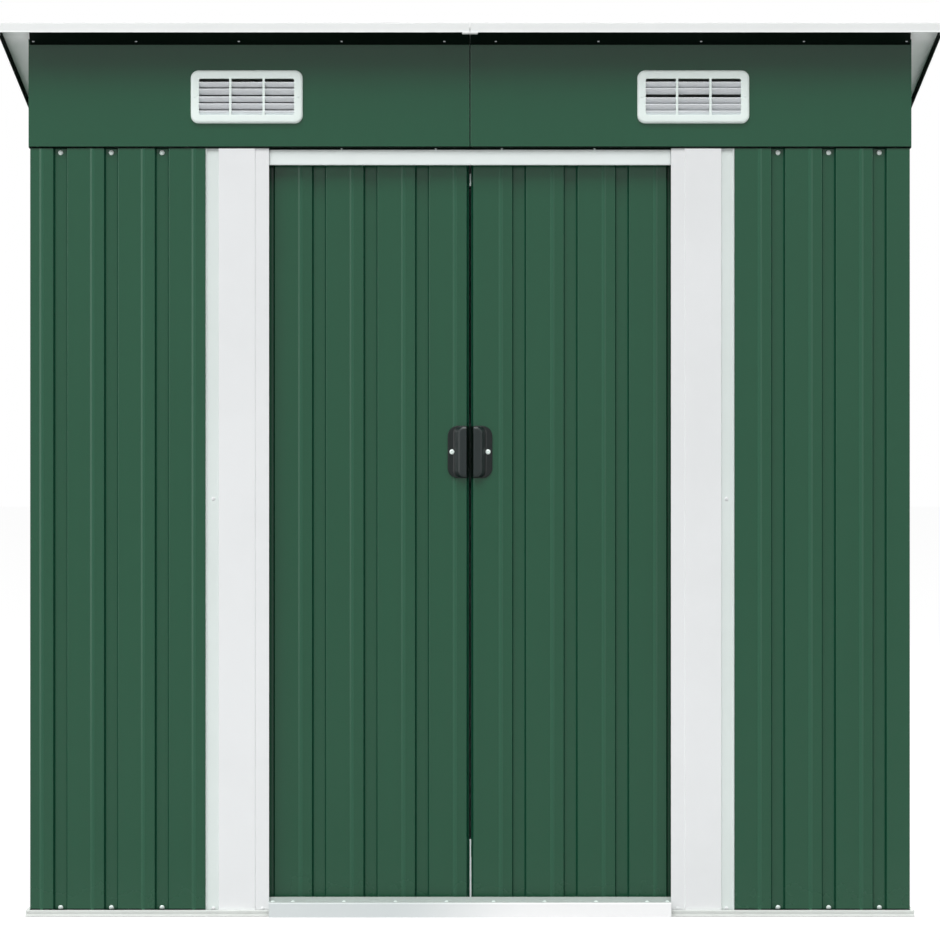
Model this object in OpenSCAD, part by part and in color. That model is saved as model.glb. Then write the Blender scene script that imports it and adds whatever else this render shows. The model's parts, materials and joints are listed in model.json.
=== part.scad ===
// Metal storage shed with a single-slope roof and two sliding doors.
// Millimetres. The origin is at the middle of the footprint of the roof, on the ground.
// +X is to the right seen from the front, +Y is to the back and +Z is up.

/* [Walls] */
// Width over the wall sheets
wall_w = 1794; // [1660:1:2600]
// Depth over the wall sheets
wall_d = 1105; // [900:1:2000]
// Height of the top edge of the wall sheets
wall_h = 1566; // [1300:1:2000]
// Thickness of every profiled or flat sheet
sheet_t = 1; // [0.6:0.1:1.5]

/* [Sheet profile] */
// Distance from one rib of the wall sheets to the next
wall_pitch = 103.5; // [95:0.5:130]
// Distance from one rib of the door sheets to the next
door_pitch = 105.5; // [95:0.5:130]
// Width of a groove at the face of the sheet
groove_w = 28.5; // [22:0.5:34]
// Depth of a groove
groove_d = 9; // [6:0.5:12]
// Run of the sloping side of a groove
groove_run = 2.5; // [1.5:0.5:5]
// Distance from the middle of a bead to the groove on its right
bead_to_groove = 27.2; // [20:0.1:34]
// Width of the raised bead beside each groove
bead_w = 12; // [8:1:16]
// Height of the bead
bead_h = 2; // [1:0.5:3]
// Distance from the left edge of a plain sheet to its first bead
first_bead = 20; // [20:1:30]
// Least flat width along the edges of a sheet
edge_flat = 13; // [11:0.5:13.5]

/* [Doorway] */
// Clear width between the door posts
opening_w = 820; // [700:1:890]
// Width of the flange of a post beside the doorway
post_flange = 26; // [20:1:34]
// Width of the raised web of a post
post_web = 74; // [60:1:100]
// Thickness of the folded posts, sill and roof trims
fold_t = 1.2; // [0.8:0.1:2]
// Room between a post and the groove it lies in, and between the posts and the sill
post_clear = 0.5; // [0.2:0.1:1]
// Height of the header that shows above the doors
header_h = 35; // [28:1:60]
// Depth of the hem under the header
header_hem = 3.5; // [2:0.5:5]
// Height of the sill in front of the doorway
sill_h = 30; // [20:1:36]
// Distance from the edge of the base flange to the front of the sill
sill_ahead = 7; // [2:1:20]

/* [Doors] */
// Room between the fixed front wall and the doors that pass behind it
door_clear = 18; // [5:0.5:30]
// Gap between the two closed doors
door_gap = 5; // [5:0.5:8]
// Overlap of a closed door behind its post
door_lap = 36; // [20:1:50]
// Room between a handle and its post when the door is open
handle_stop = 14.5; // [5:0.5:60]
// Flat width of the fold along the meeting edge of a door
fold_flat = 2; // [1:0.5:4]
// Distance from the meeting edge to the nearest bead of the left door
left_bead = 32; // [28:0.5:36]
// Distance from the meeting edge to the nearest bead of the right door
right_bead = 57; // [50:0.5:64]
// Height of the rails along the top and bottom of a door
door_rail_h = 25; // [18:1:40]
// Depth of the rails of a door
door_rail_d = 14; // [12:1:24]

/* [Door sliders and tracks] */
// Thickness of a slider
slider_t = 8; // [6:0.5:10]
// Length of a slider
slider_l = 26; // [16:1:40]
// Height of a lower slider
slider_h = 7.7; // [5:0.1:15]
// Distance from the meeting edge of a door to the middle of its inner sliders
slider_inner = 45.5; // [20:0.5:80]
// Distance from the outer edge of a door to the middle of its outer sliders
slider_outer = 69; // [20:1:100]
// Running gap under the lower sliders
slider_gap = 0.3; // [0.2:0.05:0.5]
// Height of the rib that the lower sliders run on
track_rib_h = 25; // [15:1:30]
// Height of the upper track
track_h = 16; // [14:1:24]
// Room around the upper sliders inside the track, and above the doors
track_clear = 6; // [5:0.5:10]
// Length of the upper track beyond the sliders of an open door
track_spare = 12; // [5:1:60]

/* [Base and top frame] */
// Thickness of the base and top rails
rail_t = 1.5; // [1:0.1:2.5]
// Height of the base rail behind the wall sheets
base_h = 38; // [34:1:60]
// Height of the lip in front of the wall sheets
base_lip_h = 13; // [8:1:25]
// Distance from the face of the wall to the outside of the lip
base_lip_reach = 8; // [6:0.5:12]
// Distance from the face of the wall to the edge of the bottom flange
base_flange_reach = 14; // [13:1:20]
// Depth of the front rails behind the upper track
front_rail_spare = 3; // [1:0.5:20]
// Height of the leg of the top rails inside the walls
top_leg_h = 25; // [18:1:40]
// Depth of the side and back top rails behind the face of the wall
top_rail_d = 40; // [25:1:60]

/* [Front panel and vents] */
// Gap between the two halves of the front panel
panel_seam = 1.5; // [0.5:0.5:3]
// Depth of the hem that seats the panel and the gables on the top rails
seat_hem = 15; // [12:1:20]
// Distance from the middle of the shed to the middle of a vent
vent_x = 455; // [200:1:600]
// Drop of the vents below the middle of the panel
vent_low = 3; // [0:0.5:10]
// Width of a vent
vent_w = 228; // [160:1:300]
// Height of a vent
vent_h = 108; // [80:1:130]
// Thickness of a vent
vent_t = 8; // [6:0.5:14]
// Width of the frame of a vent
vent_rim = 17; // [12:1:24]
// Radius of the corners of a vent
vent_r = 16; // [6:1:24]
// Number of slats in a vent
slat_count = 5; // [3:1:8]
// Thickness of a slat
slat_t = 1.6; // [1:0.1:2.5]
// Lean of the slats from the upright, with their top edges outwards
slat_angle = 25; // [15:1:40]
// Room between the top of the window and the first slat
slat_drop = 5.7; // [1:0.1:8]
// Number of upright bars in a vent
bar_count = 2; // [0:1:4]
// Width of an upright bar
bar_w = 5; // [3:0.5:8]

/* [Roof] */
// Slope of the roof
roof_angle = 11.3; // [8:0.1:14]
// Reach of the roof in front of the wall
front_overhang = 75; // [50:1:120]
// Reach of the roof behind the wall
back_overhang = 60; // [30:1:120]
// Reach of the roof beside the wall
side_overhang = 53; // [30:1:100]
// Height of the trim around the roof
trim_h = 21; // [16:1:32]
// Width of the trim on top of the roof
trim_top = 30; // [20:1:50]
// Drop of the trim below the roof sheets
trim_drop = 10; // [5:0.5:14]
// Gap between the two halves of the front trim
trim_seam = 1; // [0.5:0.5:3]
// Width of the clip under the joint of the front trim
clip_w = 32; // [20:1:60]
// Depth of the clip behind the face of the trim
clip_d = 6; // [4:0.5:12]
// Drop of the clip below the trim
clip_drop = 3; // [2:0.5:5]
// Distance from one roof rib to the next
roof_pitch = 209; // [150:1:260]
// Width of the foot of a roof rib
roof_rib_foot = 42; // [30:1:60]
// Width of the crest of a roof rib
roof_rib_crest = 24; // [12:1:28]

/* [Handles] */
// Width of a handle
handle_w = 39; // [30:1:44]
// Height of a handle
handle_h = 107; // [80:1:140]
// Reach of the grip in front of the door
handle_reach = 18; // [12:0.5:19]
// Width of the grip
grip_w = 23; // [16:1:26]
// Run of the slope from the grip down to its flange
grip_slope = 7; // [3:0.5:12]
// Thickness of the flange beside the grip
flange_t = 5; // [3:0.5:8]
// Distance from the meeting edge to the handle
handle_inset = 4; // [2:0.5:8]
// Radius of the outer corners of a handle
handle_r = 21; // [6:1:28]
// Height of the middle of a handle
handle_z = 947; // [700:1:1200]

/* [Hidden] */
$fn = 32;
// Faces that are cut through are cut this far beyond the solid
over = 1;

roof_w = wall_w + 2 * side_overhang;
roof_d = wall_d + front_overhang + back_overhang;
front_y = front_overhang - roof_d / 2;
back_y = roof_d / 2 - back_overhang;
mid_y = (front_y + back_y) / 2;

// Places behind the face of a wall
wall_back = groove_d + sheet_t;
leg_back = wall_back + rail_t;
door_y = leg_back + door_clear + bead_h;
door_back = door_y + wall_back;
slider_y = door_back + door_rail_d / 2;

track_in = slider_t / 2 + track_clear;
front_rail_d = slider_y + track_in + rail_t + front_rail_spare;

// Heights in the doorway
track_low = wall_h - track_h;
door_top = track_low - track_clear;
door_low = track_rib_h + slider_gap + slider_h;

// Places across the doorway, from its middle
opening_half = opening_w / 2;
door_in = door_gap / 2;
door_out = opening_half + door_lap;
handle_x = door_in + handle_inset;
door_travel = opening_half - handle_x - handle_w - handle_stop;
slider_in = door_in + slider_inner;
slider_out = door_out - slider_outer;
track_half = slider_out + door_travel + slider_l / 2 + track_spare;
post_shift = side_shift(fold_t, groove_run, groove_d);
web_out = opening_half + post_flange + groove_run + post_web;
wall_groove = web_out - post_shift - post_clear;

// Places in front of the face of a wall
seat_z = wall_h + rail_t;
skin_back = bead_h;
skin_front = bead_h + sheet_t;

// The roof passes through the outer top edge of the back top rail
eave_y = back_y + bead_h;
roof_y = -roof_d / 2;
roof_len = (roof_d - trim_h * sin(roof_angle)) / cos(roof_angle);
roof_z = seat_z + (eave_y - roof_y) * tan(roof_angle) - trim_drop / cos(roof_angle);
trim_under = trim_h - fold_t;
roof_in = roof_w / 2 - fold_t;
roof_rib_first = roof_pitch / 4;
roof_sheet_edge = 3 * roof_pitch - roof_rib_first;
soffit_z = roof_under(front_y - skin_front) - trim_drop / cos(roof_angle);

GREEN = "#365c47";
DARK = "#0a120e";
WHITE = "#e6e8e8";
BLACK = "#262626";
NYLON = "#f2f2ee";

// Frames of the four walls: X runs to the right seen from outside, Y runs inwards
module on_front() translate([0, front_y, 0]) children();
module on_back() translate([0, back_y, 0]) rotate([0, 0, 180]) children();
module on_left() translate([-wall_w / 2, mid_y, 0]) rotate([0, 0, -90]) children();
module on_right() translate([wall_w / 2, mid_y, 0]) rotate([0, 0, 90]) children();

// Frame of the roof: Y runs down the slope from the front edge, Z is square to it
module on_roof() translate([0, roof_y, roof_z]) rotate([-roof_angle, 0, 0]) children();

// A section in Y and Z, drawn out along X from x0 to x1
module along_x(x0, x1) {
    translate([x0, 0, 0])
        rotate([90, 0, 90])
            linear_extrude(x1 - x0)
                children();
}

// A rectangle from one corner to the other
module span(x0, y0, x1, y1) translate([x0, y0]) square([x1 - x0, y1 - y0]);

// A block from one corner to the other
module block(low, high) translate(low) cube(high - low);

// Height of the underside of the roof sheets at a place along Y
function roof_under(y) = seat_z + (eave_y - y) * tan(roof_angle);

// A point of the roof frame, as Y and Z of the shed
function roof_point(y, z) = [
    roof_y + y * cos(roof_angle) + z * sin(roof_angle),
    roof_z - y * sin(roof_angle) + z * cos(roof_angle)
];

function backwards(list) = [for (i = [len(list) - 1 : -1 : 0]) list[i]];

// Sideways shift of a sloping side, so that the sheet keeps its thickness there
function side_shift(t, run, rise) = t * (sqrt(run * run + rise * rise) - run) / rise;

// One face of a groove or a bead; t is 0 on the outside and the thickness on the inside
function groove_face(x, t, s) = [
    [x - s, t],
    [x + groove_run - s, groove_d + t],
    [x + groove_w - groove_run + s, groove_d + t],
    [x + groove_w + s, t]
];
function bead_face(x, t, s) = [
    [x - bead_w / 2 + s, t],
    [x - bead_w / 4 + s, t - bead_h],
    [x + bead_w / 4 - s, t - bead_h],
    [x + bead_w / 2 - s, t]
];

// One face of a sheet from x0 to x1, with a bead at x = bead and at every pitch from it.
// fold is -1 or 1 where the left or right edge is folded back, and 0 where both are plain.
function sheet_face(x0, x1, bead, pitch, fold, t) =
    let (
        s = side_shift(t, groove_run, groove_d),
        b = side_shift(t, bead_w / 4, bead_h),
        left = x0 + edge_flat,
        right = x1 - edge_flat,
        k0 = floor((x0 - bead) / pitch) - 1,
        k1 = ceil((x1 - bead) / pitch) + 1
    )
    concat(
        fold < 0
            ? [[x0, groove_d + t], [x0 + fold_flat + s, groove_d + t], [x0 + fold_flat + groove_run + s, t]]
            : [[x0, t]],
        [
            for (k = [k0 : k1])
                let (x = bead + k * pitch)
                each concat(
                    x - bead_w / 2 > left && x + bead_w / 2 < right ? bead_face(x, t, b) : [],
                    x + bead_to_groove > left && x + bead_to_groove + groove_w < right
                        ? groove_face(x + bead_to_groove, t, s)
                        : []
                )
        ],
        fold > 0
            ? [[x1 - fold_flat - groove_run - s, t], [x1 - fold_flat - s, groove_d + t], [x1, groove_d + t]]
            : [[x1, t]]
    );

// A profiled sheet from x0 to x1 that stands upright from z0 to z1
module sheet(x0, x1, z0, z1, bead, pitch = wall_pitch, fold = 0) {
    translate([0, 0, z0])
        linear_extrude(z1 - z0)
            polygon(concat(
                sheet_face(x0, x1, bead, pitch, fold, 0),
                backwards(sheet_face(x0, x1, bead, pitch, fold, sheet_t))
            ));
}

// Section of a base rail, with the wall sheets standing between its lip and its upright
module base_section(depth) {
    span(-base_flange_reach, 0, depth, rail_t);
    span(-base_lip_reach, 0, rail_t - base_lip_reach, base_lip_h);
    span(wall_back, 0, leg_back, base_h);
}

// Plan of a base rail with mitred ends, as long as its wall
module base_plan(length) {
    reach = base_flange_reach;
    half = length / 2 + reach;
    cut = front_rail_d + reach;
    polygon([[-half, -reach], [half, -reach], [half - cut, cut - reach], [cut - half, cut - reach]]);
}

module base_rail(length, depth) {
    color(WHITE)
        intersection() {
            along_x(-length, length) {
                base_section(depth);
                children();
            }
            translate([0, 0, -over])
                linear_extrude(base_h + 2 * over)
                    base_plan(length);
        }
}

// Hollow rib on the front base rail that the lower sliders run on
module track_rib() {
    difference() {
        span(slider_y - slider_t / 2, 0, slider_y + slider_t / 2, track_rib_h);
        span(slider_y - slider_t / 2 + rail_t, rail_t, slider_y + slider_t / 2 - rail_t, track_rib_h - rail_t);
    }
}

module base_rail_front() on_front() base_rail(wall_w, front_rail_d) track_rib();
module base_rail_back() on_back() base_rail(wall_w, leg_back);
module base_rail_left() on_left() base_rail(wall_d, leg_back);
module base_rail_right() on_right() base_rail(wall_d, leg_back);

module door_sill() {
    half = opening_half - post_clear;
    reach = base_flange_reach + sill_ahead;
    color(WHITE)
        on_front()
            along_x(-half, half) {
                span(-reach, 0, fold_t - reach, sill_h);
                span(-reach, sill_h - fold_t, wall_back, sill_h);
            }
}

// The front walls end under the webs of the door posts, whose outer flanges lie in their grooves
front_end = opening_half + post_flange + groove_run + post_web / 2;
module front_wall_left() {
    color(GREEN)
        on_front()
            sheet(-wall_w / 2, -front_end, rail_t, wall_h, -wall_groove - groove_w - bead_to_groove);
}
module front_wall_right() {
    color(GREEN)
        on_front()
            sheet(front_end, wall_w / 2, rail_t, wall_h, wall_groove - bead_to_groove);
}

// The side walls fit between the front and back walls, in two sheets each
side_half = wall_d / 2 - sheet_t;
module side_sheet(x0, x1) color(GREEN) sheet(x0, x1, rail_t, wall_h, x0 + first_bead);
module left_wall_front() on_left() side_sheet(0, side_half);
module left_wall_rear() on_left() side_sheet(-side_half, 0);
module right_wall_front() on_right() side_sheet(-side_half, 0);
module right_wall_rear() on_right() side_sheet(0, side_half);

// The back wall is three equal sheets; part 0 is on the right of the shed
module back_sheet(part) {
    width = wall_w / 3;
    left = part * width - wall_w / 2;
    color(GREEN)
        on_back()
            sheet(left, left + width, rail_t, wall_h, left + first_bead);
}
module back_wall_left() back_sheet(2);
module back_wall_middle() back_sheet(1);
module back_wall_right() back_sheet(0);

// A post is a folded hat section, drawn from the doorway outwards
function post_face(t, s) =
    let (
        a = opening_half,
        b = a + post_flange,
        c = b + groove_run,
        d = web_out,
        e = d + groove_run,
        f = wall_groove + groove_w - groove_run - post_clear,
        low = groove_d - fold_t + t,
        high = t - fold_t
    )
    [[a, low], [b + s, low], [c + s, high], [d - s, high], [e - s, low], [f, low]];

module door_post() {
    color(WHITE)
        translate([0, 0, rail_t])
            linear_extrude(wall_h - rail_t)
                polygon(concat(post_face(0, 0), backwards(post_face(fold_t, post_shift))));
}
module door_post_left() on_front() mirror([1, 0, 0]) door_post();
module door_post_right() on_front() door_post();

// The header fits between the inner flanges of the posts and the leg of the front top rail
module door_header() {
    half = opening_half + post_flange;
    low = wall_h - header_h;
    color(WHITE)
        on_front()
            along_x(-half, half) {
                span(groove_d, low, wall_back, wall_h);
                span(groove_d, low, wall_back + header_hem - sheet_t, low + sheet_t);
            }
}

module door_top_track() {
    outside = track_in + rail_t;
    color(WHITE)
        on_front()
            along_x(-track_half, track_half)
                difference() {
                    span(slider_y - outside, track_low, slider_y + outside, wall_h);
                    span(slider_y - track_in, track_low - over, slider_y + track_in, wall_h - rail_t);
                }
}

// A top rail has a leg inside the wall and a shelf on the edge of its sheets
module top_rail(shelf_half, leg_half, depth) {
    color(WHITE) {
        along_x(-shelf_half, shelf_half)
            span(-bead_h, wall_h, depth, seat_z);
        along_x(-leg_half, leg_half)
            span(wall_back, wall_h - top_leg_h, leg_back, seat_z);
    }
}

shelf_half = wall_w / 2 + bead_h;
leg_half = wall_w / 2 - leg_back;
module top_rail_front() on_front() top_rail(shelf_half, leg_half, front_rail_d);
module top_rail_back() on_back() top_rail(shelf_half, leg_half, top_rail_d);

// The side top rails fit between the front and back ones
module side_top_rail(to_left, to_right) {
    half = wall_d / 2;
    translate([(to_left - to_right) / 2, 0, 0])
        top_rail(half - (to_left + to_right) / 2, half - (to_left + to_right) / 2, top_rail_d);
}
module top_rail_left() on_left() side_top_rail(top_rail_d, front_rail_d);
module top_rail_right() on_right() side_top_rail(front_rail_d, top_rail_d);

// Section of the front panel, from the top rail to the roof sheets
module panel_section() {
    polygon([
        [-skin_front, seat_z],
        [-skin_back, seat_z],
        [-skin_back, roof_under(front_y - skin_back)],
        [-skin_front, roof_under(front_y - skin_front)]
    ]);
}

// Outline of a vent or of its window, with round corners
module round_outline(w, h, r) {
    square([w, h - 2 * r], center = true);
    square([w - 2 * r, h], center = true);
    for (x = [-1, 1], z = [-1, 1])
        translate([x * (w / 2 - r), z * (h / 2 - r)])
            circle(r);
}

vent_z = (seat_z + soffit_z) / 2 - vent_low;
window_w = vent_w - 2 * vent_rim;
window_h = vent_h - 2 * vent_rim;

// One half of the front panel, with its hem on the top rail and the hole behind its vent
module front_panel() {
    start = panel_seam / 2;
    hole = [window_w - vent_rim / 2, 2 * skin_front + 2 * over, window_h - vent_rim / 2];
    color(GREEN)
        on_front()
            difference() {
                union() {
                    along_x(start, wall_w / 2 + skin_front)
                        panel_section();
                    along_x(start, wall_w / 2 + skin_back)
                        span(-skin_front, seat_z, seat_hem - skin_front, seat_z + sheet_t);
                }
                translate([vent_x, 0, vent_z])
                    cube(hole, center = true);
            }
}
module front_panel_left() mirror([1, 0, 0]) front_panel();
module front_panel_right() front_panel();

// The soffit closes the front overhang, from the trim back to the front panel
module front_soffit() {
    face_y = front_y - skin_front;
    near = roof_point(fold_t, 0);
    near_top = roof_point(fold_t, sheet_t);
    far = near[1] - (face_y - near[0]) * tan(roof_angle);
    far_top = near_top[1] - (face_y - near_top[0]) * tan(roof_angle);
    half = wall_w / 2 + skin_front;
    color(DARK)
        for (x0 = [-half, panel_seam / 2])
            along_x(x0, x0 + half - panel_seam / 2)
                polygon([near, [face_y, far], [face_y, far_top], near_top]);
}

// A vent is a frame with leaning slats and upright bars
module vent() {
    slat_step = window_h / slat_count;
    slat_rise = slat_step - slat_t;
    slat_top = window_h / 2 - slat_drop - slat_rise / 2;
    bar_step = window_w / (bar_count + 1);
    rotate([90, 0, 0])
        linear_extrude(vent_t)
            difference() {
                round_outline(vent_w, vent_h, vent_r);
                round_outline(window_w, window_h, vent_r / 4);
            }
    for (i = [0 : slat_count - 1])
        translate([0, -vent_t / 2, slat_top - i * slat_step])
            rotate([slat_angle, 0, 0])
                cube([window_w + vent_rim / 2, slat_t, slat_rise / cos(slat_angle)], center = true);
    for (i = [1 : bar_count])
        translate([i * bar_step - window_w / 2, -vent_t * 3 / 4, 0])
            cube([bar_w, vent_t / 2, window_h + vent_rim / 2], center = true);
}
module vent_at(side) {
    color(WHITE)
        on_front()
            translate([side * vent_x, -skin_front, vent_z])
                vent();
}
module vent_left() vent_at(-1);
module vent_right() vent_at(1);

// A gable is a wedge of flat sheet under the slope, with a hem on the side top rail
module gable(side) {
    start = front_y - skin_back;
    hem_start = front_y + seat_hem;
    hem_end = back_y - leg_back;
    color(GREEN)
        mirror([side < 0 ? 1 : 0, 0, 0]) {
            along_x(wall_w / 2 + skin_back, wall_w / 2 + skin_front)
                polygon([[start, seat_z], [eave_y, seat_z], [start, roof_under(start)]]);
            block(
                [wall_w / 2 + skin_front - seat_hem, hem_start, seat_z],
                [wall_w / 2 + skin_front, hem_end, seat_z + sheet_t]
            );
        }
}
module gable_left() gable(-1);
module gable_right() gable(1);

// One face of the roof sheets; t is 0 below and the thickness above
function roof_face(x0, x1, t) =
    let (
        rise = trim_under - trim_drop - sheet_t,
        run = (roof_rib_foot - roof_rib_crest) / 2,
        s = side_shift(t, run, rise),
        k1 = ceil(roof_in / roof_pitch)
    )
    concat(
        [[x0, t]],
        [
            for (k = [-k1 : k1])
                let (x = sign(k) * ((abs(k) - 1) * roof_pitch + roof_rib_first))
                if (k != 0 && x - roof_rib_foot / 2 > x0 && x + roof_rib_foot / 2 < x1)
                    each [
                        [x - roof_rib_foot / 2 - s, t],
                        [x - roof_rib_crest / 2 - s, t + rise],
                        [x + roof_rib_crest / 2 + s, t + rise],
                        [x + roof_rib_foot / 2 + s, t]
                    ]
        ],
        [[x1, t]]
    );

// A roof sheet between two places across the roof, inside the trims
module roof_sheet(x0, x1) {
    color(GREEN)
        on_roof()
            translate([0, roof_len - fold_t, trim_drop])
                rotate([90, 0, 0])
                    linear_extrude(roof_len - 2 * fold_t)
                        polygon(concat(roof_face(x0, x1, 0), backwards(roof_face(x0, x1, sheet_t))));
}
module roof_sheet_left() roof_sheet(-roof_in, -roof_sheet_edge);
module roof_sheet_middle_left() roof_sheet(-roof_sheet_edge, 0);
module roof_sheet_middle_right() roof_sheet(0, roof_sheet_edge);
module roof_sheet_right() roof_sheet(roof_sheet_edge, roof_in);

// Section of the front or back trim, with its upright face at Y = 0
module trim_section() {
    span(0, 0, fold_t, trim_h);
    span(0, trim_under, trim_top, trim_h);
}

// The front trim is two halves with a clip under their joint
module roof_trim_front() {
    clip_y = clip_drop * tan(roof_angle);
    color(WHITE)
        on_roof() {
            along_x(-roof_w / 2, -trim_seam / 2)
                trim_section();
            along_x(trim_seam / 2, roof_w / 2)
                trim_section();
            block([-clip_w / 2, clip_y, -clip_drop], [clip_w / 2, clip_y + clip_d, 0]);
        }
}
module roof_trim_back() {
    color(WHITE)
        on_roof()
            translate([0, roof_len, 0])
                mirror([0, 1, 0])
                    along_x(-roof_w / 2, roof_w / 2)
                        trim_section();
}

// A side trim fits between the front and back trims
module roof_trim_side() {
    color(WHITE)
        on_roof() {
            block([roof_in, fold_t, 0], [roof_w / 2, roof_len - fold_t, trim_under]);
            block([roof_w / 2 - trim_top, trim_top, trim_under], [roof_w / 2, roof_len - trim_top, trim_h]);
        }
}
module roof_trim_left() mirror([1, 0, 0]) roof_trim_side();
module roof_trim_right() roof_trim_side();

// The doors stand behind the front wall, each with its meeting edge folded back
module left_door_panel() {
    color(GREEN)
        on_front()
            translate([0, door_y, 0])
                sheet(-door_out, -door_in, door_low, door_top, -door_in - left_bead, door_pitch, 1);
}
module right_door_panel() {
    color(GREEN)
        on_front()
            translate([0, door_y, 0])
                sheet(door_in, door_out, door_low, door_top, door_in + right_bead, door_pitch, -1);
}

// Channels along the top and bottom of a door, open to the inside of the shed
module door_rails() {
    color(WHITE)
        for (low = [door_low, door_top - door_rail_h])
            along_x(door_in, door_out)
                difference() {
                    span(door_back, low, door_back + door_rail_d, low + door_rail_h);
                    span(door_back + rail_t, low + rail_t, door_back + door_rail_d + over, low + door_rail_h - rail_t);
                }
}
module left_door_rails() on_front() mirror([1, 0, 0]) door_rails();
module right_door_rails() on_front() door_rails();

// Two sliders run on the rib of the base rail and two run inside the upper track
module door_sliders() {
    upper = wall_h - rail_t - track_clear;
    lower = track_rib_h + slider_gap;
    color(NYLON)
        for (x = [slider_in, slider_out], z = [[lower, door_low], [door_top, upper]])
            block(
                [x - slider_l / 2, slider_y - slider_t / 2, z[0]],
                [x + slider_l / 2, slider_y + slider_t / 2, z[1]]
            );
}
module left_door_sliders() on_front() mirror([1, 0, 0]) door_sliders();
module right_door_sliders() on_front() door_sliders();

// A handle stands on the door sheet, or on its bead, with the grip towards the meeting edge
module door_handle(seat) {
    translate([handle_x, door_y - seat, handle_z])
        color(BLACK)
            intersection() {
                translate([0, 0, -handle_h / 2])
                    linear_extrude(handle_h)
                        polygon([
                            [0, 0],
                            [0, seat - handle_reach],
                            [grip_w - grip_slope, seat - handle_reach],
                            [grip_w, -flange_t],
                            [handle_w, -flange_t],
                            [handle_w, 0]
                        ]);
                rotate([90, 0, 0])
                    linear_extrude(handle_reach) {
                        span(0, -handle_h / 2, handle_w - handle_r, handle_h / 2);
                        span(0, handle_r - handle_h / 2, handle_w, handle_h / 2 - handle_r);
                        for (z = [-1, 1])
                            translate([handle_w - handle_r, z * (handle_h / 2 - handle_r)])
                                circle(handle_r);
                    }
            }
}
module left_door_handle() on_front() mirror([1, 0, 0]) door_handle(bead_h);
module right_door_handle() on_front() door_handle(0);

base_rail_front();
base_rail_back();
base_rail_left();
base_rail_right();
door_sill();
front_wall_left();
front_wall_right();
left_wall_front();
left_wall_rear();
right_wall_front();
right_wall_rear();
back_wall_left();
back_wall_middle();
back_wall_right();
door_post_left();
door_post_right();
door_header();
door_top_track();
top_rail_front();
top_rail_back();
top_rail_left();
top_rail_right();
front_panel_left();
front_panel_right();
front_soffit();
vent_left();
vent_right();
gable_left();
gable_right();
roof_sheet_left();
roof_sheet_middle_left();
roof_sheet_middle_right();
roof_sheet_right();
roof_trim_front();
roof_trim_back();
roof_trim_left();
roof_trim_right();
left_door_panel();
left_door_rails();
left_door_sliders();
left_door_handle();
right_door_panel();
right_door_rails();
right_door_sliders();
right_door_handle();
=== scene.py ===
import json
import math
import random

import bmesh
import bpy
from mathutils import Matrix, Vector


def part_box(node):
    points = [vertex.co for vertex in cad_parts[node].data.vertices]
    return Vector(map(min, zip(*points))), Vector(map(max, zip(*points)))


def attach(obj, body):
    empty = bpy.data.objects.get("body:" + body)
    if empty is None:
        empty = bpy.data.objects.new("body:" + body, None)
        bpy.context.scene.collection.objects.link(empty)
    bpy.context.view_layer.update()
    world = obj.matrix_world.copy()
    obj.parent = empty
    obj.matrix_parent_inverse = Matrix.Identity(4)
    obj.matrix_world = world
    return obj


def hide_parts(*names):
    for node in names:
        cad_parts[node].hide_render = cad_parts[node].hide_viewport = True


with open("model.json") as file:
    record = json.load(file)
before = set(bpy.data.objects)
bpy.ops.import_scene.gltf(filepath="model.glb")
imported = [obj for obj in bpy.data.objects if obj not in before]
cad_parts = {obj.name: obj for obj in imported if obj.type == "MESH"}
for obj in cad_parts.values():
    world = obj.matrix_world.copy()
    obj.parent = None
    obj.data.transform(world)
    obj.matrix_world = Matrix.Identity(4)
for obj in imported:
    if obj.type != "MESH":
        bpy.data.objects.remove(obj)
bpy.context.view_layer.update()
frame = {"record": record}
scene = bpy.context.scene
record = frame["record"]
slotOf = {part["node"]: part["material_slot"] for part in record["subparts"]}
bodyOf = {node: body for body, nodes in record["behaviour"]["bodies"].items() for node in nodes}
mm = 0.001  # sizes are written in millimetres and kept in metres
dice = random.Random(7)
print("frame loaded:", len(slotOf), "nodes")

# camera, level and square to the front
camera = dict(place=(0, -7.745, 0.910), lens=135.2, sensor=36)
eye = bpy.data.objects.new("camera", bpy.data.cameras.new("camera"))
eye.data.lens = camera["lens"]
eye.data.sensor_width = camera["sensor"]
eye.location = camera["place"]
eye.rotation_euler = (math.pi / 2, 0, 0)
scene.collection.objects.link(eye)
scene.camera = eye


class Wire:
    # an output of a material node; + - and * between wires and numbers add Math nodes
    def __init__(self, paint, socket):
        self.paint = paint
        self.socket = socket

    def maths(self, operation, first, second):
        return self.paint.node("Math", {"operation": operation}, {0: first, 1: second})

    def __add__(self, other):
        return self.maths("ADD", self, other)

    def __sub__(self, other):
        return self.maths("SUBTRACT", self, other)

    def __rsub__(self, other):
        return self.maths("SUBTRACT", other, self)

    def __mul__(self, other):
        return self.maths("MULTIPLY", self, other)

    __radd__ = __add__
    __rmul__ = __mul__


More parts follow.
